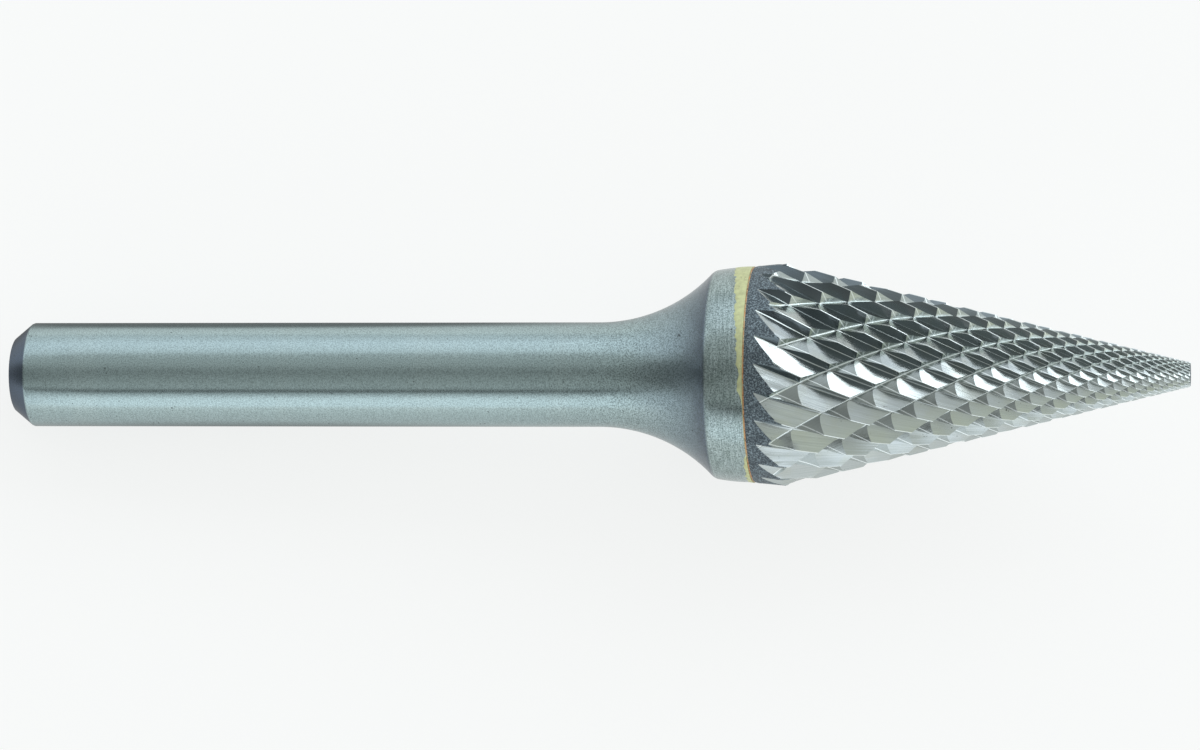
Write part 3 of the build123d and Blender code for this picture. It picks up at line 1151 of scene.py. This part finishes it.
# past the point: on the camera's side, on the far side, and both above and below
TIP_FRONT, TIP_FAR, TIP_BRIGHT = 0.85, 0.50, 1.35
REAR_END_LEVEL = 0.20                  # past the rear end, at the tool's own height
CAMERA_SIDE_HOLE = (8, -12)            # degrees upwards and towards the tip, from the camera
HOLE_REACH = (4, 12)                   # degrees from its middle to where it is darkest, and ends
HOLE_DARKNESS = 0.35
DIM_LIGHT, BRIGHT_LIGHT = (0.97, 1.0, 0.98), (0.95, 1.0, 1.07)
LOW_TIP_LIGHT, FAR_TIP_LIGHT = (0.96, 1.0, 0.83), (0.84, 0.97, 1.10)

COVERED, COVERED_BEHIND = 0.35, 0.20   # light kept off the floor, and more behind the point
COVER_NARROWNESS = 120.0               # per metre to either side of the tool
POINT_FROM, POINT_FADE = 1.4 / 80, 80.0  # metres along the floor, and per metre
# a darker patch of the floor, which only mirrored rays see
PATCH_MIDDLE, PATCH_RADII = (-0.020, 0.005), (0.020, 0.010)
PATCH_END, PATCH_FADE = 2.2 / 1.8, 1.8  # in radii of the patch
PATCH_DARKNESS = 0.70


def camera_directions():
    """Towards the camera, to the right and up in its view, as unit vectors."""
    up_from_axis = Vector((-AXIS.z, 0, AXIS.x))
    side = -cos(CAMERA_TURN) * Vector((0, 1, 0)) + sin(CAMERA_TURN) * up_from_axis
    towards = sin(TIP_TOWARDS_CAMERA) * AXIS + cos(TIP_TOWARDS_CAMERA) * side
    right = (AXIS - AXIS.dot(towards) * towards).normalized()
    return towards, right, towards.cross(right)


def room_direction(upwards, tipwards):
    """A unit vector, from its angles upwards and towards the tip, from the camera's direction."""
    towards, right, up = camera_directions()
    across = cos(radians(upwards)) * towards + sin(radians(upwards)) * up
    return cos(radians(tipwards)) * across + sin(radians(tipwards)) * right


def facing(location, target, up):
    """A matrix that puts an object at location with its -Z towards target."""
    back = (location - target).normalized()
    right = up.cross(back).normalized()
    turned = Matrix((right, back.cross(right), back)).transposed().to_4x4()
    return Matrix.Translation(location) @ turned


def add_softbox(name, place, size, brightness, tint):
    """A rectangular lamp, placed by its angles from the camera's direction, facing the joint."""
    right = camera_directions()[1]
    joint = REAR_CENTRE + AXIS * SHANK_END
    lamp = bpy.data.lights.new(name, "AREA")
    lamp.shape = "RECTANGLE"
    lamp.size, lamp.size_y = size
    lamp.color = tint
    lamp.energy = brightness * pi * size[0] * size[1]
    holder = bpy.data.objects.new(name, lamp)
    location = joint + room_direction(*place) * SOFTBOX_DISTANCE
    holder.matrix_world = facing(location, joint, room_direction(place[0], 0).cross(right))
    bpy.context.scene.collection.objects.link(holder)


def make_surround(settings):
    """Soft room light, brightest above and below the tool as the camera sees it."""
    world = bpy.data.worlds.new("surround")
    world.use_nodes = True
    world.node_tree.nodes.clear()
    net = Net(world.node_tree)
    direction = net.node("ShaderNodeTexCoord").outputs["Generated"]

    def towards_side(side):
        return net.field(
            "ShaderNodeVectorMath",
            {0: direction, 1: tuple(side)},
            output="Value",
            operation="DOT_PRODUCT",
        )

    def brought_to(level, mask, brightness):
        return level + mask * (brightness - level)

    def raised_to(level, mask, brightness):
        return level + mask * net.most(brightness - level, 0.0)

    towards, right, up = (towards_side(side) for side in camera_directions())
    round_tool = net.math("ARCTAN2", up, towards) / (2 * pi) + 0.5
    stops = [(turn / 360 + 0.5, brightness / ROOM_PEAK) for turn, brightness in ROOM]
    level = net.ramp(round_tool, stops) * ROOM_PEAK

    # past the point and past the rear end, the room differs from that round the tool
    front = net.clamped(towards * 2.0)
    tip_side = net.rising(right, 0.30, 3.0)
    rear_end = net.falling(right, -0.3, 1.4) * net.falling(net.size_of(up), 0.38, 5.0)
    behind_tip = tip_side * net.clamped(0.1 - towards * 3.0) * net.clamped(up * 4.0)
    level = raised_to(level, tip_side * front, TIP_FRONT)
    level = brought_to(level, rear_end, REAR_END_LEVEL)
    level = brought_to(level, behind_tip, TIP_FAR)
    level = raised_to(level, tip_side * net.falling(up, -0.64, 5.0), TIP_BRIGHT)
    level = raised_to(level, tip_side * net.rising(up, 0.4, 4.0), TIP_BRIGHT)
    inner, outer = (cos(radians(reach)) for reach in HOLE_REACH)
    near_hole = towards_side(room_direction(*CAMERA_SIDE_HOLE))
    hole = net.rising(near_hole, outer, 1 / (inner - outer))
    level = level * (1.0 - hole * HOLE_DARKNESS)

    low_tip = tip_side * front * net.falling(up, 0.3, 2.0) * net.clamped(1.7 + up * 2.2)
    tint = net.layered(
        DIM_LIGHT,
        (net.rising(level, 0.5, 1.6), BRIGHT_LIGHT),
        (low_tip, LOW_TIP_LIGHT),
        (behind_tip, FAR_TIP_LIGHT),
    )
    seen = net.node("ShaderNodeLightPath").outputs["Is Camera Ray"]
    light = net.node("ShaderNodeBackground", {"Color": tint, "Strength": level})
    white = (*settings.floor_colour, 1.0)
    backdrop = net.node("ShaderNodeBackground", {"Color": white, "Strength": 1.0})
    output = net.node("ShaderNodeOutputWorld")
    net.blend_shaders(seen, light, backdrop, output.inputs["Surface"])
    return world


def make_floor_material(settings):
    """Lit matt floor whose paleness, to the camera and in the metal, is partly its own."""
    material, net, shader = new_material("pale_floor")
    white = (*settings.floor_colour, 1.0)
    for name, value in (("Base Color", white), ("Roughness", 0.9), ("Specular IOR Level", 0.1)):
        shader.inputs[name].default_value = value
    paths = net.node("ShaderNodeLightPath").outputs
    camera, mirrored = Field(net, paths["Is Camera Ray"]), Field(net, paths["Is Glossy Ray"])

    # painted shadow in the floor's glow, as mirrored rays see it, beneath the shank and the thick
    # end of the head
    along, aside, _ = net.parts(net.node("ShaderNodeTexCoord").outputs["Object"])
    covered = COVERED + COVERED_BEHIND * net.falling(along, POINT_FROM, POINT_FADE)
    shaded = 1.0 - covered / (1.0 + net.size_of(aside) * COVER_NARROWNESS)
    off_centre = net.vector(*(
        (place - middle) / radius
        for place, middle, radius in zip((along, aside), PATCH_MIDDLE, PATCH_RADII)
    ))
    from_middle = net.field(
        "ShaderNodeVectorMath", {0: off_centre}, output="Value", operation="LENGTH"
    )
    shaded = shaded * (1.0 - PATCH_DARKNESS * net.falling(from_middle, PATCH_END, PATCH_FADE))
    glow = net.node("ShaderNodeEmission", {"Color": white})
    net.join(camera + mirrored * shaded * settings.floor_in_metal, glow.inputs["Strength"])
    surface = shader.outputs[0].links[0].to_socket
    net.blend_shaders(camera * settings.floor_glow + mirrored, shader, glow, surface)
    return material


def lay_floor(settings):
    data = bpy.data.meshes.new("floor")
    corners = [(x * FLOOR_HALF, y * FLOOR_HALF, 0) for x, y in ((-1, -1), (1, -1), (1, 1), (-1, 1))]
    data.from_pydata(corners, [], [(0, 1, 2, 3)])
    data.materials.append(make_floor_material(settings))
    floor = bpy.data.objects.new("floor", data)
    bpy.context.scene.collection.objects.link(floor)


def add_camera():
    towards, _, up = camera_directions()
    target = REAR_CENTRE + AXIS * FLARE_START
    data = bpy.data.cameras.new("camera")
    data.sensor_width = SENSOR_MM
    data.lens = SENSOR_MM * FOCAL_LENGTH_PX / IMAGE_WIDTH_PX
    data.shift_y = -AXIS_ROW_OFFSET_PX / IMAGE_WIDTH_PX
    data.clip_start = 10 * MM
    camera = bpy.data.objects.new("camera", data)
    camera.matrix_world = facing(target + towards * CAMERA_DISTANCE, target, up)
    bpy.context.scene.collection.objects.link(camera)
    bpy.context.scene.camera = camera


class BURR_OT_stage(Operator):
    """Lay the pale floor, set the lamps and point the camera"""

    bl_idname = "burr.stage"
    bl_label = "Stage"

    def execute(self, context):
        settings = context.scene.burr_stage
        lay_floor(settings)
        tint = settings.softbox_colour
        add_softbox("far_softbox", FAR_PLACE, FAR_SIZE, settings.far_softbox, tint)
        add_softbox("near_softbox", NEAR_PLACE, NEAR_SIZE, settings.near_softbox, tint)
        context.scene.world = make_surround(settings)
        context.scene.view_settings.view_transform = "Standard"
        add_camera()
        return {"FINISHED"}


class BURR_PT_panel(Panel):
    """Lists the steps and the sizes that they use"""

    bl_idname = "BURR_PT_panel"
    bl_label = "Carbide burr"
    bl_space_type = "VIEW_3D"
    bl_region_type = "UI"
    bl_category = "Burr"

    def draw(self, context):
        for step in STEPS:
            self.layout.operator(step.bl_idname)
        for group in GROUPS:
            box = self.layout.box()
            settings = getattr(context.scene, group)
            for name in settings.bl_rna.properties.keys():
                if name not in {"rna_type", "name"}:
                    box.prop(settings, name)


STEPS = (BURR_OT_effects, BURR_OT_shank, BURR_OT_braze, BURR_OT_head, BURR_OT_stage)
GROUPS = {
    "burr_shank": ShankSettings,
    "burr_braze": BrazeSettings,
    "burr_head": HeadSettings,
    "burr_stage": StageSettings,
}
CLASSES = (*GROUPS.values(), *STEPS, BURR_PT_panel)


def register():
    for cls in CLASSES:
        bpy.utils.register_class(cls)
    for name, group in GROUPS.items():
        setattr(bpy.types.Scene, name, PointerProperty(type=group))


def unregister():
    for name in GROUPS:
        delattr(bpy.types.Scene, name)
    for cls in reversed(CLASSES):
        bpy.utils.unregister_class(cls)


def main():
    register()
    bpy.ops.burr.effects()
    bpy.ops.burr.shank()
    bpy.ops.burr.braze()
    bpy.ops.burr.head()
    bpy.ops.burr.stage()


if __name__ == "__main__":
    main()
